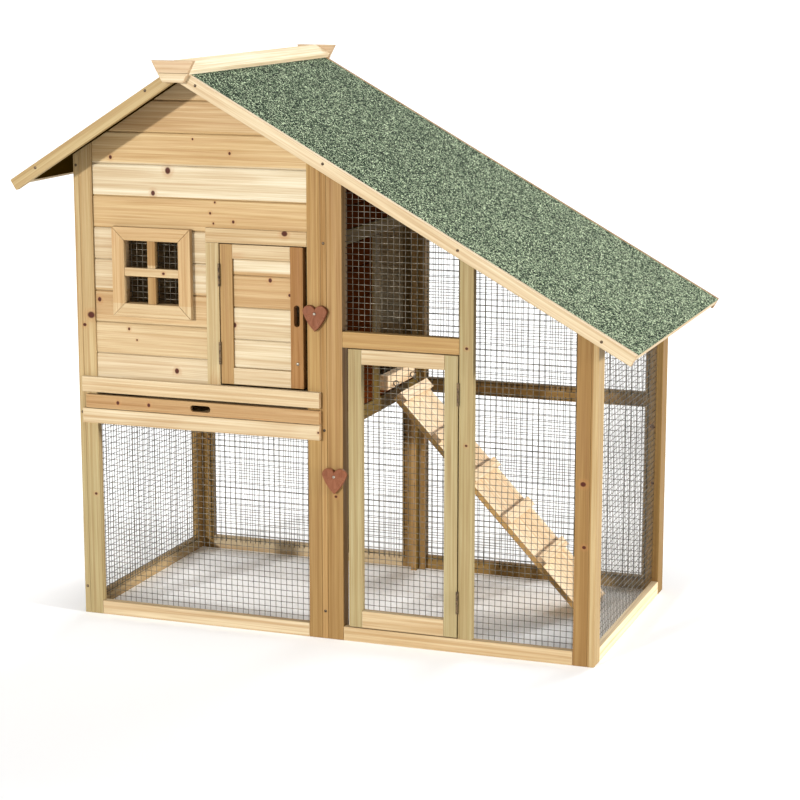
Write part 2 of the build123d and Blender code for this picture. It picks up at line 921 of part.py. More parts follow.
eye_x = batten_right + eye_ring_radius + eye_wire
eye_places = (ramp_y - eye_spread / 2, ramp_y + eye_spread / 2)
with BuildPart() as ramp_eyes:
    for eye_y in eye_places:
        ring_centre = Plane(origin=(eye_x, eye_y, eye_height), x_dir=(1, 0, 0), z_dir=(0, 0, 1))
        with BuildSketch(ring_centre):
            with Locations((eye_ring_radius, 0)):
                RegularPolygon(eye_wire, wire_sides)
        revolve(axis=Axis((eye_x, eye_y, eye_height), (0, 1, 0)))
        with BuildSketch(at_x(batten_right - eye_bite)):
            with Locations((eye_y, eye_height)):
                RegularPolygon(eye_wire, wire_sides)
        extrude(amount=eye_bite + eye_wire)
finish(ramp_eyes, "ramp_eyes")

cleat_middle = ramp_plane * Location((cleat_width / 2, ramp_thickness + cleat_height / 2, 0))
hook_foot = cleat_middle.position
hook_angle = math.atan2(hook_foot.Z - eye_height, hook_foot.X - eye_x)
hook_offset = eye_ring_radius - eye_wire - hook_wire - hook_slack
hook_x = eye_x + hook_offset * math.cos(hook_angle)
hook_z = eye_height + hook_offset * math.sin(hook_angle)
with BuildPart() as ramp_hooks:
    for eye_y in eye_places:
        shank_y = eye_y - hook_reach / 2
        with BuildLine() as hook_path:
            FilletPolyline(
                (hook_foot.X, shank_y, hook_foot.Z),
                (hook_x, shank_y, hook_z),
                (hook_x, eye_y + hook_reach / 2, hook_z),
                radius=hook_bend,
            )
        with BuildSketch(Plane(origin=hook_path.line @ 0, z_dir=hook_path.line % 0)):
            RegularPolygon(hook_wire, wire_sides)
        sweep(path=hook_path.line)
finish(ramp_hooks, "ramp_hooks")

# Roof


def roof_plane(side, y):
    """Plane square to the ridge on one slope: local x runs down it, local y stands off it."""
    pitch = math.radians(right_pitch if side > 0 else left_pitch)
    return Plane(
        origin=(ridge_x, y, ridge_height),
        x_dir=(side * math.cos(pitch), 0, -math.sin(pitch)),
        z_dir=(0, -side, 0),
    )


def roof_layer(side, y, length_y, high, low, start, end):
    """Layer of one slope between two depths, plumb at the ridge unless it starts further down."""
    plumb = math.tan(math.radians(right_pitch if side > 0 else left_pitch))
    with BuildSketch(roof_plane(side, y)) as layer:
        with BuildLine():
            Polyline(
                (max(start, -high * plumb), high),
                (end, high),
                (end, low),
                (max(start, -low * plumb), low),
                close=True,
            )
        make_face()
    extrude(layer.sketch, amount=length_y / 2, both=True)


slope_lengths = {
    -1: (ridge_x + roof_width / 2) / math.cos(math.radians(left_pitch)),
    1: (roof_width / 2 - ridge_x) / math.cos(math.radians(right_pitch)),
}
from_ridge = -ridge_cap_width
deck_span = 2 * (verge_y - verge_thickness)

for side, side_name in ((-1, "left"), (1, "right")):
    deck_end = slope_lengths[side] - fascia_thickness
    with BuildPart() as roof_deck:
        roof_layer(side, 0, deck_span, -felt_thickness, -deck_depth, from_ridge, deck_end)
    finish(roof_deck, f"roof_deck_{side_name}")
    with BuildPart() as roof_felt:
        roof_layer(side, 0, deck_span, 0, -felt_thickness, from_ridge, slope_lengths[side])
    finish(roof_felt, f"roof_felt_{side_name}")
    with BuildPart() as verge_boards:
        for end in (-1, 1):
            middle = end * (verge_y - verge_thickness / 2)
            roof_layer(side, middle, verge_thickness, 0, -verge_height, from_ridge, slope_lengths[side])
    finish(verge_boards, f"verge_boards_{side_name}")
    with BuildPart() as ridge_cap:
        roof_layer(side, 0, 2 * verge_y, ridge_cap_thickness, 0, from_ridge, ridge_cap_width)
    finish(ridge_cap, f"ridge_cap_{side_name}")


with BuildPart() as eave_fascias:
    for side in (-1, 1):
        slope_end = slope_lengths[side]
        strip_start = slope_end - fascia_thickness
        roof_layer(side, 0, deck_span, -felt_thickness, -deck_depth, strip_start, slope_end)
finish(eave_fascias, "eave_fascias")


def trim_board(face_y, low, high, low_width, high_width):
    """Flared board across the end of the ridge."""
    outline = [
        (ridge_x - low_width / 2, low),
        (ridge_x + low_width / 2, low),
        (ridge_x + high_width / 2, high),
        (ridge_x - high_width / 2, high),
    ]
    slab(outline, face_y, face_y + trim_thickness)


trim_top = ridge_height + trim_top_rise
trim_seam = trim_top - trim_upper_height
trim_foot = trim_seam - trim_lower_height
with BuildPart() as ridge_end_trims:
    for trim_face in (-verge_y - trim_thickness, verge_y):
        trim_board(trim_face, trim_seam, trim_top, trim_seam_width, trim_top_width)
        trim_board(trim_face, trim_foot, trim_seam - trim_gap, trim_foot_width, trim_seam_width)
finish(ridge_end_trims, "ridge_end_trims")
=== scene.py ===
"""Looks of the rabbit hutch: fir boards and posts, welded wire netting, mineral felt and small ironwork.

Metres, in the CAD frame: +Z up, front towards -Y, run towards +X.
"""
import math
import random

import bmesh
import bpy
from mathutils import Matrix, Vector


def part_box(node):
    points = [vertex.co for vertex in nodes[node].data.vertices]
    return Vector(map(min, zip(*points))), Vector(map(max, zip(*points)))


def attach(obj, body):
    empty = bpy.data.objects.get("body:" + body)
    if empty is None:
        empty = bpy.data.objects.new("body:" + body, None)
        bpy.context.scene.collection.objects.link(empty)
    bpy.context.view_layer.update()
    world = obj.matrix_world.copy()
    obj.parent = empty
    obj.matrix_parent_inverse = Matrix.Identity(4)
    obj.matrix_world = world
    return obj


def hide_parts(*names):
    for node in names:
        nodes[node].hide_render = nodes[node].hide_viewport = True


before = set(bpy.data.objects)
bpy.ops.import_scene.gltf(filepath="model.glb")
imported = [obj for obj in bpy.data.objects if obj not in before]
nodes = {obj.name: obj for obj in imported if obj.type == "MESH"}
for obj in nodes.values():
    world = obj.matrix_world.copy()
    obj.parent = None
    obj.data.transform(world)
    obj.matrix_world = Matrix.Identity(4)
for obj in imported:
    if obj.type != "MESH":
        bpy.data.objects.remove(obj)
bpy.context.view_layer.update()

MM = 0.001

# Turns that bring the direction of a piece's grain onto X, in degrees

LEFT_PITCH = 32.2
RIGHT_PITCH = 28.9
RAMP_SLOPE = 46.5
ACROSS = (0, 0, 0)
DEEP = (0, 0, -90)
UPRIGHT = (0, 90, 0)
LEFT_SLOPE = (0, LEFT_PITCH, 0)
RIGHT_SLOPE = (0, -RIGHT_PITCH, 0)
DOWN_RAMP = (0, -RAMP_SLOPE, 0)

# Tones of the lit fir, on a picture's 0-255 scale

WHITE_FIR = (250, 237, 206)
CREAM = (241, 224, 190)
PALE = (232, 208, 165)
HONEY = (229, 199, 152)
LIGHT_TAN = (233, 203, 152)
TAN = (225, 193, 144)
RED_TAN = (213, 178, 129)
GREEN_TAN = (214, 189, 140)
STILE_TAN = (206, 172, 112)
HEAD_TAN = (206, 170, 112)
OLIVE = (193, 176, 129)
SOFT_OLIVE = (199, 185, 140)
JAMB_OLIVE = (219, 200, 155)
VERGE_OLIVE = (208, 186, 138)
# Painted shade: a dark olive for the partition's faces in the shade inside the run
PAINTED_SHADE_OLIVE = (136, 112, 54)
OCHRE = (196, 160, 106)
DARK_OCHRE = (178, 143, 88)
# Painted shade: an ochre for the rear frame's faces in the shade inside the run
PAINTED_SHADE_OCHRE = (166, 134, 74)
BROWN = (184, 138, 84)
# Painted shade: a dark red-brown that stands in for the shade on the partition inside the run
PAINTED_SHADE_RED_BROWN = (102, 52, 20)
# Painted shade: a near-black deck tone, darker than the plywood's own, that stands in for the shade under
# the roof
PAINTED_SHADE_DECK = (64, 48, 8)
PEACH = (230, 202, 168)
# Painted light: a near-white peach that stands in for sunlight on the ramp
PAINTED_LIGHT_PEACH = (255, 233, 200)
STAIN = (158, 100, 70)

# Share of a tone that the wood itself has, the light giving the rest, and the sheen of its surface

ALBEDO = 0.61
FRESH = 0.75
# Painted light: a share near one keeps the light of a sunlit face in the tone
PAINTED_LIGHT_SHARE = 0.95
SHEEN = 0.18
DULL = 0.1
MATT = 0.0

# Figure of the fir: how often each pattern changes in a metre, along the grain and twice across it

KNOT_FIGURE = (4.0, 7.5, 7.5)
RING_FIGURE = (0.3, 9.0, 9.0)
BLOTCH_FIGURE = (2.5, 12.0, 12.0)
STREAK_FIGURE = (1.3, 150.0, 150.0)
FIBRE_FIGURE = (7.0, 450.0, 450.0)

# How far one piece's figure lies from another's, the rings in it, and how much a knot bends them

PIECE_SHIFT = (31.0, 17.0, 23.0)
RINGS = 22.0
RING_BEND = 0.05

# Tones that the figure multiplies the fir by, where it is darkest

BLOTCH_TONE = (244, 238, 230)
STREAK_TONE = (229, 217, 201)
FIBRE_TONE = (234, 226, 214)
CLEAR_TONE = (255, 255, 255)
LATE_TONE = (222, 194, 158)
LATE_SHARE = 0.18

# Tones of knots and end grain, and how much of each covers the fir

HALO_TONE = (196, 134, 80)
HALO_SHARE = 0.32
CORE_TONE = (78, 18, 0)
CORE_SHARE = 0.97
END_TONE = (170, 124, 78)
END_SHARE = 0.5

# Relief of the fir: its depth, and the rise of late wood and fibres in it

RELIEF = 0.3 * MM
LATE_RISE = 0.6
FIBRE_RISE = 0.8

# Knots seen on the front, as X, Z and radius in millimetres, and their length as a share of their width

BOARD_KNOTS = [
    (-210, 1015, 4), (-483, 999, 5), (-293, 1042, 3), (-351, 975, 8.5), (-386, 927, 6.5),
    (-245, 913, 3), (-256, 890, 3.5), (-249, 869, 3), (-204, 874, 4.2),
    (-517, 696, 6), (-431, 613, 2.8), (-449, 636, 4), (-339, 552, 7),
]
DOOR_KNOTS = [(-123, 756, 5.5), (-80, 727, 4), (-205, 658, 6.5)]
TRAY_KNOTS = [(-472, 477, 5), (-399, 477, 5)]
UPRIGHT_KNOTS = [
    (-536, 662, 10), (-552, 640, 5), (-536, 270, 4), (22, 310, 4),
    (306, 440, 3.5), (306, 640, 4), (552, 380, 7), (556, 250, 5),
]
HEADER_KNOTS = [(-88, 855, 8)]
RAIL_KNOTS = [(-12, 446, 3)]
MUNTIN_KNOTS = [(-360, 760, 4)]
KNOT_LENGTH = 0.85

# Rows of boards on the front, from the bottom up

ROW_BASE = 513 * MM
ROW_PITCH = 67.5 * MM
DOOR_ROW_BASE = 561 * MM
FRONT_ROWS = [CREAM, PALE, HONEY, CREAM, CREAM, LIGHT_TAN, WHITE_FIR, LIGHT_TAN, HONEY, HONEY]
DOOR_ROWS = [WHITE_FIR, WHITE_FIR, TAN, WHITE_FIR]

# Uprights of the front: the places in X between them, and their tones beside the house and below it

UPRIGHT_EDGES = [-300 * MM, -22 * MM, 100 * MM, 420 * MM, 566 * MM]
UPRIGHT_TONES = [GREEN_TAN, STILE_TAN, OCHRE, OLIVE, DARK_OCHRE, GREEN_TAN]
LOW_UPRIGHT_TONES = [OLIVE, DARK_OCHRE, DARK_OCHRE, OLIVE, DARK_OCHRE, GREEN_TAN]
HOUSE_BASE = 430 * MM
TONE_FADE = 160 * MM

# Bars whose grain turns within one node

HEADER_HEIGHT = 30 * MM
WINDOW_BAR_WIDTH = 28 * MM
MUNTIN_WIDTH = 18 * MM
TRAY_BACK_DEPTH = 9 * MM

# Eased edges of the timber, with angles in degrees

EDGE = 1.0 * MM
BOARD_EDGE = 0.5 * MM
EDGE_STEPS = 2
SHARP_ANGLE = 30
FLAT_ANGLE = 0.5
WELD_GAP = 0.01 * MM

# Felt: granules in a metre, their tones from dark to light, and painted shade that eases off from ridge to
# eave

GRANULES = 540.0
GRANULE_TONES = [(0.15, (0, 4, 1)), (0.5, (20, 40, 22)), (0.72, (55, 80, 50)), (0.92, (212, 228, 188))]
FELT_START_X = -0.25
FELT_END_X = 0.6
PAINTED_SHADE_AT_FELT_START = -0.065
PAINTED_SHADE_AT_FELT_END = -0.008

# Welded wire netting: each wire has a point every few cells, strayed a little

WIRE_PITCH = 12.7 * MM
WIRE_RADIUS = 0.66 * MM
WIRE_SIDES = 6
WIRE_STEP = 3 * WIRE_PITCH
WIRE_STRAY = 0.35 * MM
NET_EDGE = 0.1 * MM
SAME_PLACE = 0.001 * MM

# Nail and screw heads, placed by X and Z in millimetres

NAIL_RADIUS = 3.2 * MM
NAIL_DOME = 0.9 * MM
SCREW_RADIUS = 3.6 * MM
SCREW_DOME = 1.4 * MM
HEAD_RINGS = 4
HEAD_SIDES = 14
VERGE_NAILS = [(-615, 980), (-358, 1145), (-246, 1157), (29, 1009), (312, 849), (605, 685)]
WALL_SCREWS = [(-563, 980), (-563, 449), (-563, 60), (-3, 839), (-3, 449), (-3, 60)]
DOOR_SCREW = (-61, 585)

# Suns: name, azimuth from the front towards +X and elevation in degrees, strength, and softness in degrees

SUNS = [
    ("front_key", -21, 12, 3.4, 3),
    ("side_key", 84, 11, 3.6, 6),
    ("overhead", 0, 80, 1.2, 40),
    ("back", 170, 35, 2.2, 30),
]

# Room: a white wall up to one rise of the line of sight, and dim from another rise on

WALL_RISE = 0.2
WALL_LIGHT = 1.05
DIM_RISE = 0.34
DIM_LIGHT = 0.13
FLOOR_REACH = 100.0
FLOOR_TONES = [(0.2, (250, 250, 250)), (0.8, (253, 253, 253))]

# Camera of the photo, with angles in degrees and the lens in millimetres

CAMERA_PLACE = (1.6823, -4.5106, 1.4381)
CAMERA_TILT = 78.471
CAMERA_TURN = 19.834
LENS = 100.78


def linear(tone):
    """A 0-255 display tone as the linear colour that the shader takes."""
    values = []
    for part in tone:
        share = part / 255
        values.append(share / 12.92 if share <= 0.04045 else ((share + 0.055) / 1.055) ** 2.4)
    return (*values, 1.0)


class Graph:
    """One material's nodes: each method adds a node and gives back its output."""

    def __init__(self, name):
        self.material = bpy.data.materials.new(name)
        self.material.use_nodes = True
        self.nodes = self.material.node_tree.nodes
        self.links = self.material.node_tree.links
        self.shader = self.nodes["Principled BSDF"]
        place = self.nodes.new("ShaderNodeTexCoord")
        self.place = place.outputs["Object"]
        self.normal = place.outputs["Normal"]
        self.island = self.nodes.new("ShaderNodeNewGeometry").outputs["Random Per Island"]

    def put(self, socket, value):
        """Links an output to a socket, or sets the socket to a plain value."""
        if isinstance(value, bpy.types.NodeSocket):
            self.links.new(value, socket)
        else:
            socket.default_value = value

    def shade(self, **values):
        """Feeds the shader's sockets, named with _ for a space."""
        for name, value in values.items():
            self.put(self.shader.inputs[name.replace("_", " ")], value)

    def math(self, operation, first, second=0.0):
        node = self.nodes.new("ShaderNodeMath")
        node.operation = operation
        self.put(node.inputs[0], first)
        self.put(node.inputs[1], second)
        return node.outputs[0]

    def vector(self, operation, first, second=(0, 0, 0), output="Vector"):
        node = self.nodes.new("ShaderNodeVectorMath")
        node.operation = operation
        self.put(node.inputs[0], first)
        self.put(node.inputs[1], second)
        return node.outputs[output]

    def turn(self, vector, degrees):
        node = self.nodes.new("ShaderNodeMapping")
        node.inputs["Rotation"].default_value = [math.radians(angle) for angle in degrees]
        self.put(node.inputs["Vector"], vector)
        return node.outputs["Vector"]

    def part(self, vector, axis):
        node = self.nodes.new("ShaderNodeSeparateXYZ")
        self.put(node.inputs[0], vector)
        return node.outputs[axis]

    def combine(self, value):
        node = self.nodes.new("ShaderNodeCombineXYZ")
        for socket in node.inputs:
            self.put(socket, value)
        return node.outputs[0]

    def noise(self, vector, stretch, detail=2.0):
        node = self.nodes.new("ShaderNodeTexNoise")
        self.put(node.inputs["Vector"], self.vector("MULTIPLY", vector, stretch))
        node.inputs["Scale"].default_value = 1.0
        node.inputs["Detail"].default_value = detail
        return node.outputs["Fac"]

    def cells(self, vector, stretch, output="Distance"):
        node = self.nodes.new("ShaderNodeTexVoronoi")
        self.put(node.inputs["Vector"], self.vector("MULTIPLY", vector, stretch))
        node.inputs["Scale"].default_value = 1.0
        return node.outputs[output]

    def span(self, value, low, high, at_low=0.0, at_high=1.0, smooth=False):
        """Moves low..high to at_low..at_high and stops at the ends."""
        node = self.nodes.new("ShaderNodeMapRange")
        node.interpolation_type = "SMOOTHSTEP" if smooth else "LINEAR"
        self.put(node.inputs["Value"], value)
        node.inputs["From Min"].default_value = low
        node.inputs["From Max"].default_value = high
        node.inputs["To Min"].default_value = at_low
        node.inputs["To Max"].default_value = at_high
        return node.outputs["Result"]

    def ramp(self, value, stops, steps=False):
        """Colour by value: stops are (place, tone) pairs, blended or in steps."""
        node = self.nodes.new("ShaderNodeValToRGB")
        node.color_ramp.interpolation = "CONSTANT" if steps else "LINEAR"
        elements = node.color_ramp.elements
        while len(elements) < len(stops):
            elements.new(1.0)
        for element, (place, tone) in zip(elements, stops):
            element.position = place
            element.color = linear(tone)
        self.put(node.inputs["Fac"], value)
        return node.outputs["Color"]

    def mix(self, share, first, second, blend="MIX"):
        node = self.nodes.new("ShaderNodeMix")
        node.data_type = "RGBA"
        node.blend_type = blend
        self.put(node.inputs[0], share)
        self.put(node.inputs[6], first)
        self.put(node.inputs[7], second)
        return node.outputs[2]

    def bump(self, height, strength, distance):
        node = self.nodes.new("ShaderNodeBump")
        node.inputs["Strength"].default_value = strength
        node.inputs["Distance"].default_value = distance
        self.put(node.inputs["Height"], height)
        self.put(self.shader.inputs["Normal"], node.outputs["Normal"])


# Tones by piece and place: each function gives back one that adds the tone's nodes to a material

def by_piece(*tones):
    """Each separate board or bar takes one tone of its own between those given."""
    def pick(graph):
        last = max(len(tones) - 1, 1)
        stops = [(index / last, tones[min(index, len(tones) - 1)]) for index in range(last + 1)]
        return graph.ramp(graph.island, stops)
    return pick


def by_band(axis, edges, tones):
    """Tones in steps along an axis: each edge starts the next tone."""
    low = edges[0] - 1
    reach = edges[-1] + 1 - low
    def pick(graph):
        value = graph.span(graph.part(graph.place, axis), low, low + reach)
        starts = [0.0] + [(edge - low) / reach for edge in edges]
        return graph.ramp(value, list(zip(starts, tones)), steps=True)
    return pick


def by_row(base, tones):
    """Tones of the rows of boards, from the bottom up."""
    edges = [base + ROW_PITCH * (index + 1) for index in range(len(tones) - 1)]
    return by_band("Z", edges, tones)


def split(mask, base, other):
    """Takes its tone from other where the mask is 1, and from base elsewhere."""
    def pick(graph):
        return graph.mix(mask(graph), base(graph), other(graph))
    return pick


# Masks by place and by the way that a face looks; the face masks share painted light and shade between a
# piece's faces

def beyond(axis, limit, fade=0.1 * MM):
    """Mask that is 1 past a place on an axis, reached over a fade to either side."""
    def mask(graph):
        return graph.span(graph.part(graph.place, axis), limit - fade, limit + fade, smooth=True)
    return mask


def between(axis, low, high):
    """Mask that is 1 between two places on an axis."""
    def mask(graph):
        value = graph.part(graph.place, axis)
        past_low = graph.math("GREATER_THAN", value, low)
        short_of_high = graph.math("LESS_THAN", value, high)
        return graph.math("MULTIPLY", past_low, short_of_high)
    return mask


def frame_sides(node, bar_width):
    """Mask that is 1 where a mitred frame runs upright: nearer its sides than its top and bottom."""
    low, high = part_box(node)
    middle = (low + high) / 2
    half = (high - low) / 2
    def mask(graph):
        across = graph.math("ABSOLUTE", graph.math("SUBTRACT", graph.part(graph.place, "X"), middle.x))
        up = graph.math("ABSOLUTE", graph.math("SUBTRACT", graph.part(graph.place, "Z"), middle.z))
        past_side = graph.math("SUBTRACT", across, half.x - bar_width)
        past_top = graph.math("SUBTRACT", up, half.z - bar_width)
        return graph.math("GREATER_THAN", past_side, past_top)
    return mask


def front_face(graph):
    """Mask that is 1 on faces to the front."""
    return graph.span(graph.part(graph.normal, "Y"), -0.6, -0.9)


def back_face(graph):
    """Mask that is 1 on faces to the back."""
    return graph.span(graph.part(graph.normal, "Y"), 0.6, 0.9)


def front_or_back_face(graph):
    """Mask that is 1 on faces to the front and back."""
    return graph.span(graph.math("ABSOLUTE", graph.part(graph.normal, "Y")), 0.6, 0.9)


# Materials

def knot_masks(graph, run, grain, knots, knot_share):
    """Core and halo of the knots: those strewn along the grain, at a share of full, and those given."""
    strewn = graph.cells(run, KNOT_FIGURE)
    core = graph.span(strewn, 0.02, 0.045, knot_share, 0.0, smooth=True)
    halo = graph.span(strewn, 0.0, 0.16, knot_share, 0.0, smooth=True)
    for x, z, radius in knots:
        away = graph.vector("SUBTRACT", graph.place, (x * MM, 0.0, z * MM))
        away = graph.vector("MULTIPLY", graph.turn(away, grain), (1 / KNOT_LENGTH, 0.0, 1.0))
        radii = graph.math("DIVIDE", graph.vector("LENGTH", away, output="Value"), radius * MM)
        core = graph.math("MAXIMUM", core, graph.span(radii, 0.6, 1.05, 1.0, 0.0, smooth=True))
        halo = graph.math("MAXIMUM", halo, graph.span(radii, 0.6, 2.6, 1.0, 0.0, smooth=True))
    return core, halo


def wood(
    name,
    pick,
    grain=ACROSS,
    second_grain=None,
    mask=None,
    knots=(),
    knot_share=1.0,
    gloss=SHEEN,
    albedo=ALBEDO,
):
    """Planed fir: rings cut lengthwise, fibres, blotches, knots and darker end grain.

    pick gives the tone, and the grain is second_grain where the mask is 1.
    """
    graph = Graph(name)
    run = graph.turn(graph.place, grain)
    facing = graph.turn(graph.normal, grain)
    if mask:
        share = mask(graph)
        run = graph.mix(share, run, graph.turn(graph.place, second_grain))
        facing = graph.mix(share, facing, graph.turn(graph.normal, second_grain))
    shift = graph.vector("MULTIPLY", graph.combine(graph.island), PIECE_SHIFT)
    run = graph.vector("ADD", run, shift)

    core, halo = knot_masks(graph, run, grain, knots, knot_share)
    field = graph.noise(run, RING_FIGURE, detail=1.0)
    field = graph.math("ADD", field, graph.math("MULTIPLY", halo, RING_BEND))
    ring = graph.math("FRACT", graph.math("MULTIPLY", field, RINGS))
    late = graph.math("MULTIPLY", graph.span(ring, 0.3, 0.85, smooth=True), graph.span(ring, 1.0, 0.9))
    blotch = graph.noise(run, BLOTCH_FIGURE)
    streak = graph.noise(run, STREAK_FIGURE)
    fibre = graph.noise(run, FIBRE_FIGURE)

    colour = pick(graph)
    colour = graph.mix(graph.math("MULTIPLY", late, LATE_SHARE), colour, linear(LATE_TONE), blend="MULTIPLY")
    for pattern, tone in ((blotch, BLOTCH_TONE), (streak, STREAK_TONE), (fibre, FIBRE_TONE)):
        shade = graph.ramp(pattern, [(0.3, tone), (0.62, CLEAR_TONE)])
        colour = graph.mix(1.0, colour, shade, blend="MULTIPLY")
    colour = graph.mix(graph.math("MULTIPLY", halo, HALO_SHARE), colour, linear(HALO_TONE))
    colour = graph.mix(graph.math("MULTIPLY", core, CORE_SHARE), colour, linear(CORE_TONE))
    end = graph.span(graph.math("ABSOLUTE", graph.part(facing, "X")), 0.75, 0.95)
    colour = graph.mix(graph.math("MULTIPLY", end, END_SHARE), colour, linear(END_TONE))
    colour = graph.mix(1.0, colour, (albedo, albedo, albedo, 1.0), blend="MULTIPLY")
    graph.shade(Base_Color=colour, Specular_IOR_Level=gloss)
    graph.shade(Roughness=graph.span(late, 0.0, 1.0, 0.68, 0.54))
    late_height = graph.math("MULTIPLY", late, LATE_RISE)
    fibre_height = graph.math("MULTIPLY", fibre, FIBRE_RISE)
    graph.bump(graph.math("ADD", late_height, fibre_height), 0.3, RELIEF)
    return graph.material


def metal(name, tone, dark, roughness, grain):
    """Metal with a mottled skin: tone and dark are its two shades, grain its mottles in a metre."""
    graph = Graph(name)
    mottle = graph.noise(graph.place, (grain, grain, grain), detail=4.0)
    graph.shade(Base_Color=graph.ramp(mottle, [(0.35, dark), (0.65, tone)]), Metallic=0.7)
    graph.shade(Roughness=graph.span(mottle, 0.3, 0.7, roughness + 0.12, roughness - 0.08))
    graph.bump(mottle, 0.15, 0.1 * MM)
    return graph.material


def felt():
    """Green mineral felt: crushed slate granules of several greens, standing out of the sheet, with painted
    shade darkest by the ridge.
    """
    graph = Graph("green_felt")
    size = (GRANULES, GRANULES, GRANULES)
    granule = graph.part(graph.cells(graph.place, size, output="Color"), "X")
    crown = graph.cells(graph.place, size)
    drift = graph.math("SUBTRACT", graph.noise(graph.place, (40.0, 40.0, 40.0)), 0.5)
    across = graph.part(graph.place, "X")
    # Painted shade: darker by the ridge, easing off down the right slope
    painted_ridge_shade = graph.span(across, FELT_START_X, FELT_END_X, PAINTED_SHADE_AT_FELT_START, PAINTED_SHADE_AT_FELT_END)
    shade = graph.math("ADD", granule, graph.math("MULTIPLY", drift, 0.2))
    shade = graph.math("ADD", shade, painted_ridge_shade)
    graph.shade(Base_Color=graph.ramp(shade, GRANULE_TONES), Specular_IOR_Level=0.15)
    graph.shade(Roughness=graph.span(granule, 0.0, 1.0, 0.98, 0.8))
    graph.bump(graph.math("SUBTRACT", granule, crown), 0.6, 0.8 * MM)
    return graph.material


def dress(material, *names, edge=EDGE):
    """Gives CAD nodes a material, and eases their sharp edges where edge isn't zero."""
    for name in names:
        node = nodes[name]
        for slot in node.material_slots:
            slot.link = "OBJECT"
            slot.material = material
        if not edge:
            continue
        weld = node.modifiers.new("weld", "WELD")
        weld.merge_threshold = WELD_GAP
        flat = node.modifiers.new("whole_faces", "DECIMATE")
        flat.decimate_type = "DISSOLVE"
        flat.angle_limit = math.radians(FLAT_ANGLE)
        bevel = node.modifiers.new("eased_edges", "BEVEL")
        bevel.width = edge
        bevel.segments = EDGE_STEPS
        bevel.limit_method = "ANGLE"
        bevel.angle_limit = math.radians(SHARP_ANGLE)
        node.modifiers.new("flat_faces", "WEIGHTED_NORMAL")


# Boards

front_rows = by_row(ROW_BASE, FRONT_ROWS)
door_rows = by_row(DOOR_ROW_BASE, DOOR_ROWS)
front_boards = wood("front_boards", front_rows, knots=BOARD_KNOTS, knot_share=0.0)
door_boards = wood("door_boards", door_rows, knots=DOOR_KNOTS, knot_share=0.0)
dress(front_boards, "house_front_boards", edge=BOARD_EDGE)
dress(door_boards, "house_door_boards", edge=BOARD_EDGE)
dress(wood("back_boards", by_piece(PALE, TAN, CREAM, HONEY)), "house_back_boards", edge=BOARD_EDGE)
dress(wood("wall_boards", by_piece(PALE, TAN, HONEY), DEEP), "left_wall_boards", edge=BOARD_EDGE)
# The partition boards' dark red-brown is painted shade inside the run
dress(wood("partition_boards", by_piece(PAINTED_SHADE_RED_BROWN), DEEP, gloss=MATT), "partition_boards", edge=BOARD_EDGE)

# Uprights and rails

low_uprights = by_band("X", UPRIGHT_EDGES, LOW_UPRIGHT_TONES)
high_uprights = by_band("X", UPRIGHT_EDGES, UPRIGHT_TONES)
front_uprights = split(beyond("Z", HOUSE_BASE, TONE_FADE), low_uprights, high_uprights)
front_run_rails = split(beyond("Z", HOUSE_BASE), by_piece(PALE), by_piece(HEAD_TAN))
# Painted shade: rear uprights and rails are dark ochre on every face but the back one, standing in for the
# shade inside the run
rear_frame_painted_shade = split(back_face, by_piece(DARK_OCHRE, PAINTED_SHADE_OCHRE), by_piece(TAN, GREEN_TAN))
# Painted shade: the partition stiles are dark olive on every face but the front one, which the light reaches
partition_frame_painted_shade = split(front_face, by_piece(PAINTED_SHADE_OLIVE), by_piece(OCHRE))
uprights = split(beyond("Y", 0.0), front_uprights, rear_frame_painted_shade)
run_rails = split(beyond("Y", 0.0), front_run_rails, rear_frame_painted_shade)

dress(
    wood("uprights", uprights, UPRIGHT, knots=UPRIGHT_KNOTS),
    "house_stiles",
    "left_wall_stiles",
    "corner_posts",
    "run_stiles",
    "end_panel_stiles",
)
dress(
    wood("rails", by_piece(CREAM, PALE), knots=RAIL_KNOTS),
    "house_front_rails",
    "house_back_rails",
    "run_door_rails",
    "floor_bearers",
)
dress(wood("run_rails", run_rails), "run_rails")
dress(wood("top_rails", by_piece(HONEY, PALE), RIGHT_SLOPE), "run_top_rails")
dress(wood("deep_rails", by_piece(HONEY, GREEN_TAN), DEEP), "left_wall_rails")
# Painted light: the end rails take nearly the full cream tone, standing in for light on the run's right end
dress(wood("end_rails", by_piece(CREAM), DEEP, albedo=PAINTED_LIGHT_SHARE), "end_panel_rails")
# The partition rails' dark olive is painted shade inside the run
dress(wood("partition_rails", by_piece(PAINTED_SHADE_OLIVE), DEEP, gloss=DULL), "partition_rails")
dress(wood("partition_stiles", partition_frame_painted_shade, UPRIGHT, gloss=DULL), "partition_stiles")

# Doors and window

door_low, door_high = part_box("house_door_stiles")
door_middle = (door_low.x + door_high.x) / 2
header_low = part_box("door_surround")[1].z - HEADER_HEIGHT
window_low, window_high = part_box("window_frame")
window_middle = (window_low + window_high) / 2
muntin_low = window_middle.z - MUNTIN_WIDTH / 2
muntin_high = window_middle.z + MUNTIN_WIDTH / 2
window_tones = by_band("Z", [window_low.z + WINDOW_BAR_WIDTH], [PALE, TAN])
muntin_tones = by_band("Z", [muntin_low, muntin_high], [OCHRE, PALE, OCHRE])

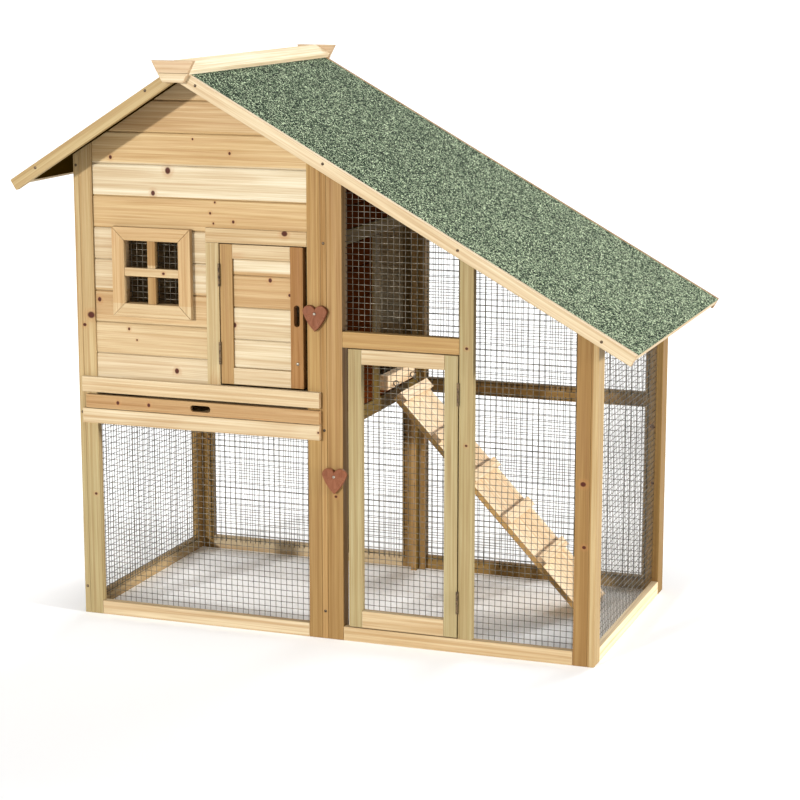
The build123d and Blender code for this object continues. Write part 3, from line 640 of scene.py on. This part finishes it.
door_surround = wood(
    "door_surround",
    by_band("Z", [header_low], [JAMB_OLIVE, PALE]),
    UPRIGHT,
    second_grain=ACROSS,
    mask=beyond("Z", header_low),
    knots=HEADER_KNOTS,
)
window_frame = wood(
    "window_frame",
    window_tones,
    ACROSS,
    second_grain=UPRIGHT,
    mask=frame_sides("window_frame", WINDOW_BAR_WIDTH),
)
window_muntins = wood(
    "window_muntins",
    muntin_tones,
    UPRIGHT,
    second_grain=ACROSS,
    mask=between("Z", muntin_low, muntin_high),
    knots=MUNTIN_KNOTS,
)
dress(door_surround, "door_surround")
dress(window_frame, "window_frame")
dress(window_muntins, "window_muntins")
dress(wood("door_stiles", by_band("X", [door_middle], [OCHRE, BROWN]), UPRIGHT), "house_door_stiles")
dress(wood("door_rails", by_piece(PALE, CREAM)), "house_door_rails")
dress(wood("run_door_stiles", by_piece(SOFT_OLIVE), UPRIGHT), "run_door_stiles")
hearts = wood("hearts", by_piece(STAIN), UPRIGHT, knot_share=0.0)
dress(hearts, "house_heart_latch", "run_heart_latch", edge=0)

# Tray, floor and ramp

tray_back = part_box("tray_walls")[1].y - TRAY_BACK_DEPTH
tray_walls = wood("tray_walls", by_piece(HONEY, TAN), DEEP, second_grain=ACROSS, mask=beyond("Y", tray_back))
# Painted light and shade: the ramp plank is near-white peach on top and dark ochre on its front and back
# sides, which lie in shade
plank_painted_light_and_shade = split(front_or_back_face, by_piece(PAINTED_LIGHT_PEACH), by_piece(DARK_OCHRE))
dress(wood("tray_front", by_piece(RED_TAN), knots=TRAY_KNOTS), "tray_front")
dress(tray_walls, "tray_walls")
dress(wood("sheets", by_piece(HONEY), DEEP), "house_floor", "tray_bottom")
dress(wood("ramp_plank", plank_painted_light_and_shade, DOWN_RAMP, albedo=PAINTED_LIGHT_SHARE), "ramp_plank")
# The cleats' near-white peach at a near-full share is painted light
dress(wood("ramp_cleats", by_piece(PAINTED_LIGHT_PEACH), DEEP, albedo=PAINTED_LIGHT_SHARE), "ramp_cleats", "ramp_batten")

# Roof

# Painted shade: the rear verges are ochre on every face but the back one, standing in for the shade on their
# inner faces above the felt
rear_verge_painted_shade = split(back_face, by_piece(OCHRE), by_piece(PALE))
left_verges = split(beyond("Y", 0.0), by_piece(VERGE_OLIVE), rear_verge_painted_shade)
right_verges = split(beyond("Y", 0.0), by_piece(CREAM), rear_verge_painted_shade)
dress(wood("left_verges", left_verges, LEFT_SLOPE), "verge_boards_left")
dress(wood("right_verges", right_verges, RIGHT_SLOPE), "verge_boards_right")
# The decks' near-black tone is painted shade under the roof
dress(wood("left_deck", by_piece(PAINTED_SHADE_DECK), LEFT_SLOPE, gloss=MATT), "roof_deck_left")
dress(wood("right_deck", by_piece(PAINTED_SHADE_DECK), RIGHT_SLOPE, gloss=MATT), "roof_deck_right")
dress(wood("fascias", by_piece(WHITE_FIR, CREAM), DEEP), "eave_fascias")
dress(wood("ridge_caps", by_piece(WHITE_FIR), DEEP, albedo=FRESH), "ridge_cap_left", "ridge_cap_right")
dress(wood("ridge_trims", by_piece(PEACH, CREAM)), "ridge_end_trims")
dress(felt(), "roof_felt_left", "roof_felt_right", edge=0)

# Ironwork

bronze = metal("bronzed_hinge", (112, 92, 66), (58, 46, 34), 0.45, 260.0)
zinc = metal("zinc_steel", (150, 142, 128), (96, 90, 80), 0.38, 320.0)
wire = metal("galvanised_wire", (114, 106, 92), (68, 64, 53), 0.42, 90.0)
# Painted shade: the back and left nets' wires take a near-black tone for wires seen from their unlit side
painted_shade_wire = metal("painted_shade_wire", (42, 47, 40), (20, 24, 18), 0.5, 90.0)
iron = metal("dark_iron", (92, 74, 54), (44, 34, 26), 0.5, 320.0)
dress(bronze, "house_hinge_fixed", "house_hinge_swinging", edge=0)
dress(bronze, "run_hinge_fixed", "run_hinge_swinging", edge=0)
dress(zinc, "latch_screws", "ramp_eyes", "ramp_hooks", edge=0)


def new_piece(name, points, faces, material, body):
    """A smooth mesh piece that rides a body."""
    mesh = bpy.data.meshes.new(name)
    mesh.from_pydata(points, [], faces)
    mesh.materials.append(material)
    for face in mesh.polygons:
        face.use_smooth = True
    piece = bpy.data.objects.new(name, mesh)
    bpy.context.scene.collection.objects.link(piece)
    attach(piece, body)
    return piece


# Wire netting

def sheets(name):
    """Each separate sheet of a net node, as its points, always in the mesh's own order."""
    mesh = bmesh.new()
    mesh.from_mesh(nodes[name].data)
    bmesh.ops.remove_doubles(mesh, verts=mesh.verts, dist=SAME_PLACE)
    seen = set()
    found = []
    for start in mesh.verts:
        if start in seen:
            continue
        seen.add(start)
        waiting = [start]
        points = []
        while waiting:
            vertex = waiting.pop()
            points.append(vertex.co.copy())
            for edge in vertex.link_edges:
                other = edge.other_vert(vertex)
                if other not in seen:
                    seen.add(other)
                    waiting.append(other)
        found.append(points)
    mesh.free()
    return found


def tube(points, first_side, second_side, vertices, faces):
    """Adds a closed wire along points, round in the plane of two directions."""
    first = len(vertices)
    for point in points:
        for side in range(WIRE_SIDES):
            angle = math.tau * side / WIRE_SIDES
            outward = math.cos(angle) * first_side + math.sin(angle) * second_side
            vertices.append(point + WIRE_RADIUS * outward)
    for ring in range(len(points) - 1):
        base = first + ring * WIRE_SIDES
        for side in range(WIRE_SIDES):
            after = (side + 1) % WIRE_SIDES
            faces.append((base + side, base + after, base + WIRE_SIDES + after, base + WIRE_SIDES + side))
    last = first + (len(points) - 1) * WIRE_SIDES
    faces.append(tuple(first + side for side in reversed(range(WIRE_SIDES))))
    faces.append(tuple(last + side for side in range(WIRE_SIDES)))


def steps(start, end):
    """Places from start to end of a wire, about a step apart."""
    count = max(1, round((end - start) / WIRE_STEP))
    return [start + (end - start) * index / count for index in range(count + 1)]


def weave(points, draw, vertices, faces):
    """Adds the wires of one sheet: upright ones in front, level ones behind them."""
    low = Vector([min(point[axis] for point in points) for axis in range(3)])
    high = Vector([max(point[axis] for point in points) for axis in range(3)])
    through = 0 if high.x - low.x < high.y - low.y else 1
    along = 1 - through
    across = Vector((1, 0, 0)) if along == 0 else Vector((0, 1, 0))
    inward = Vector((0, 1, 0)) if along == 0 else Vector((1, 0, 0))
    up = Vector((0, 0, 1))
    start_top = max(point.z for point in points if point[along] < low[along] + NET_EDGE)
    end_top = max(point.z for point in points if point[along] > high[along] - NET_EDGE)
    width = high[along] - low[along]
    middle = (low[through] + high[through]) / 2

    def place(run, height, depth):
        stray = [draw.uniform(-WIRE_STRAY, WIRE_STRAY) for _ in range(3)]
        flat = across * (low[along] + run + stray[0]) + inward * (middle + depth + stray[1] / 2)
        return flat + up * (height + stray[2])

    columns = int(width / WIRE_PITCH)
    margin = (width - columns * WIRE_PITCH) / 2
    for column in range(columns + 1):
        run = min(max(margin + column * WIRE_PITCH, WIRE_RADIUS), width - WIRE_RADIUS)
        top = start_top + (end_top - start_top) * run / width
        route = [place(run, height, -WIRE_RADIUS) for height in steps(low.z, top)]
        tube(route, across, inward, vertices, faces)

    rows = round((high.z - low.z) / WIRE_PITCH)
    for row in range(rows):
        height = low.z + (high.z - low.z) * (row + 0.5) / rows
        begin, end = 0.0, width
        if height > end_top:
            end = width * (start_top - height) / (start_top - end_top)
        if height > start_top:
            begin = width * (height - start_top) / (end_top - start_top)
        if end - begin < WIRE_PITCH / 2:
            continue
        route = [place(run, height, WIRE_RADIUS) for run in steps(begin, end)]
        tube(route, up, inward, vertices, faces)


def net(name, body, material):
    """Welded mesh in place of a net node."""
    draw = random.Random(name)
    vertices = []
    faces = []
    for points in sheets(name):
        weave(points, draw, vertices, faces)
    piece = new_piece("wire_" + name, vertices, faces, material, body)
    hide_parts(name)


for name in ("house_front_net", "window_net", "run_front_nets", "end_panel_net"):
    net(name, "hutch", wire)
for name in ("house_back_net", "left_wall_net", "run_back_nets"):
    net(name, "hutch", painted_shade_wire)
net("run_door_net", "run_door", wire)


# Nail and screw heads

def head(name, centre, facing, radius, dome, body, material):
    """Low domed head on an upright face; facing is -1 for the front, +1 for the back."""
    x, y, z = centre
    vertices = []
    faces = []
    for ring in range(HEAD_RINGS):
        rise_angle = ring / HEAD_RINGS * math.pi / 2
        reach = radius * math.cos(rise_angle)
        rise = dome * math.sin(rise_angle)
        for side in range(HEAD_SIDES):
            angle = math.tau * side / HEAD_SIDES
            vertices.append((x + reach * math.cos(angle), y + facing * rise, z + reach * math.sin(angle)))
    vertices.append((x, y + facing * dome, z))
    top = len(vertices) - 1
    for ring in range(HEAD_RINGS):
        base = ring * HEAD_SIDES
        above = base + HEAD_SIDES
        for side in range(HEAD_SIDES):
            after = (side + 1) % HEAD_SIDES
            if above == top:
                faces.append((base + side, base + after, top))
            else:
                faces.append((base + side, base + after, above + after, above + side))
    faces.append(tuple(reversed(range(HEAD_SIDES))))
    if facing < 0:
        faces = [tuple(reversed(face)) for face in faces]
    new_piece(name, vertices, faces, material, body)


def nails(name, places, depth):
    """The same nail heads on the front and the back, at a depth from the middle."""
    for index, (x, z) in enumerate(places):
        for side, facing in (("front", -1), ("back", 1)):
            centre = (x * MM, facing * depth, z * MM)
            head(f"{name}_{side}_{index}", centre, facing, NAIL_RADIUS, NAIL_DOME, "hutch", iron)


nails("verge_nail", VERGE_NAILS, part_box("verge_boards_right")[1].y)
nails("wall_screw", WALL_SCREWS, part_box("left_wall_stiles")[1].y)
screw_x, screw_z = DOOR_SCREW
screw_centre = (screw_x * MM, door_low.y, screw_z * MM)
head("door_screw", screw_centre, -1, SCREW_RADIUS, SCREW_DOME, "house_door", zinc)


# Floor, light and camera

def floor():
    """Plain pale floor."""
    graph = Graph("pale_floor")
    patch = graph.noise(graph.place, (1.5, 1.5, 1.5))
    graph.shade(Base_Color=graph.ramp(patch, FLOOR_TONES), Roughness=0.9)
    reach = FLOOR_REACH
    mesh = bpy.data.meshes.new("floor")
    corners = [(-reach, -reach, 0), (reach, -reach, 0), (reach, reach, 0), (-reach, reach, 0)]
    mesh.from_pydata(corners, [], [(0, 1, 2, 3)])
    mesh.materials.append(graph.material)
    piece = bpy.data.objects.new("floor", mesh)
    bpy.context.scene.collection.objects.link(piece)


def sun(name, azimuth, elevation, strength, softness):
    """Sunlike lamp."""
    lamp = bpy.data.lights.new(name, "SUN")
    lamp.energy = strength
    lamp.angle = math.radians(softness)
    piece = bpy.data.objects.new(name, lamp)
    piece.rotation_euler = (math.radians(90 - elevation), 0, math.radians(azimuth))
    bpy.context.scene.collection.objects.link(piece)


def studio():
    """Dim grey room with a white wall at the horizon."""
    world = bpy.data.worlds.new("studio")
    world.use_nodes = True
    tree = world.node_tree
    direction = tree.nodes.new("ShaderNodeTexCoord").outputs["Generated"]
    height = tree.nodes.new("ShaderNodeSeparateXYZ")
    tree.links.new(direction, height.inputs[0])
    fade = tree.nodes.new("ShaderNodeMapRange")
    tree.links.new(height.outputs["Z"], fade.inputs["Value"])
    fade.inputs["From Min"].default_value = WALL_RISE
    fade.inputs["From Max"].default_value = DIM_RISE
    fade.inputs["To Min"].default_value = WALL_LIGHT
    fade.inputs["To Max"].default_value = DIM_LIGHT
    background = tree.nodes["Background"]
    background.inputs["Color"].default_value = (1.0, 1.0, 1.0, 1.0)
    tree.links.new(fade.outputs["Result"], background.inputs["Strength"])
    bpy.context.scene.world = world


def camera():
    """The photo's view."""
    lens = bpy.data.cameras.new("photo_view")
    lens.lens = LENS
    piece = bpy.data.objects.new("photo_view", lens)
    piece.location = CAMERA_PLACE
    piece.rotation_euler = (math.radians(CAMERA_TILT), 0, math.radians(CAMERA_TURN))
    bpy.context.scene.collection.objects.link(piece)
    bpy.context.scene.camera = piece


floor()
for lamp_values in SUNS:
    sun(*lamp_values)
studio()
bpy.context.scene.view_settings.view_transform = "Standard"
camera()
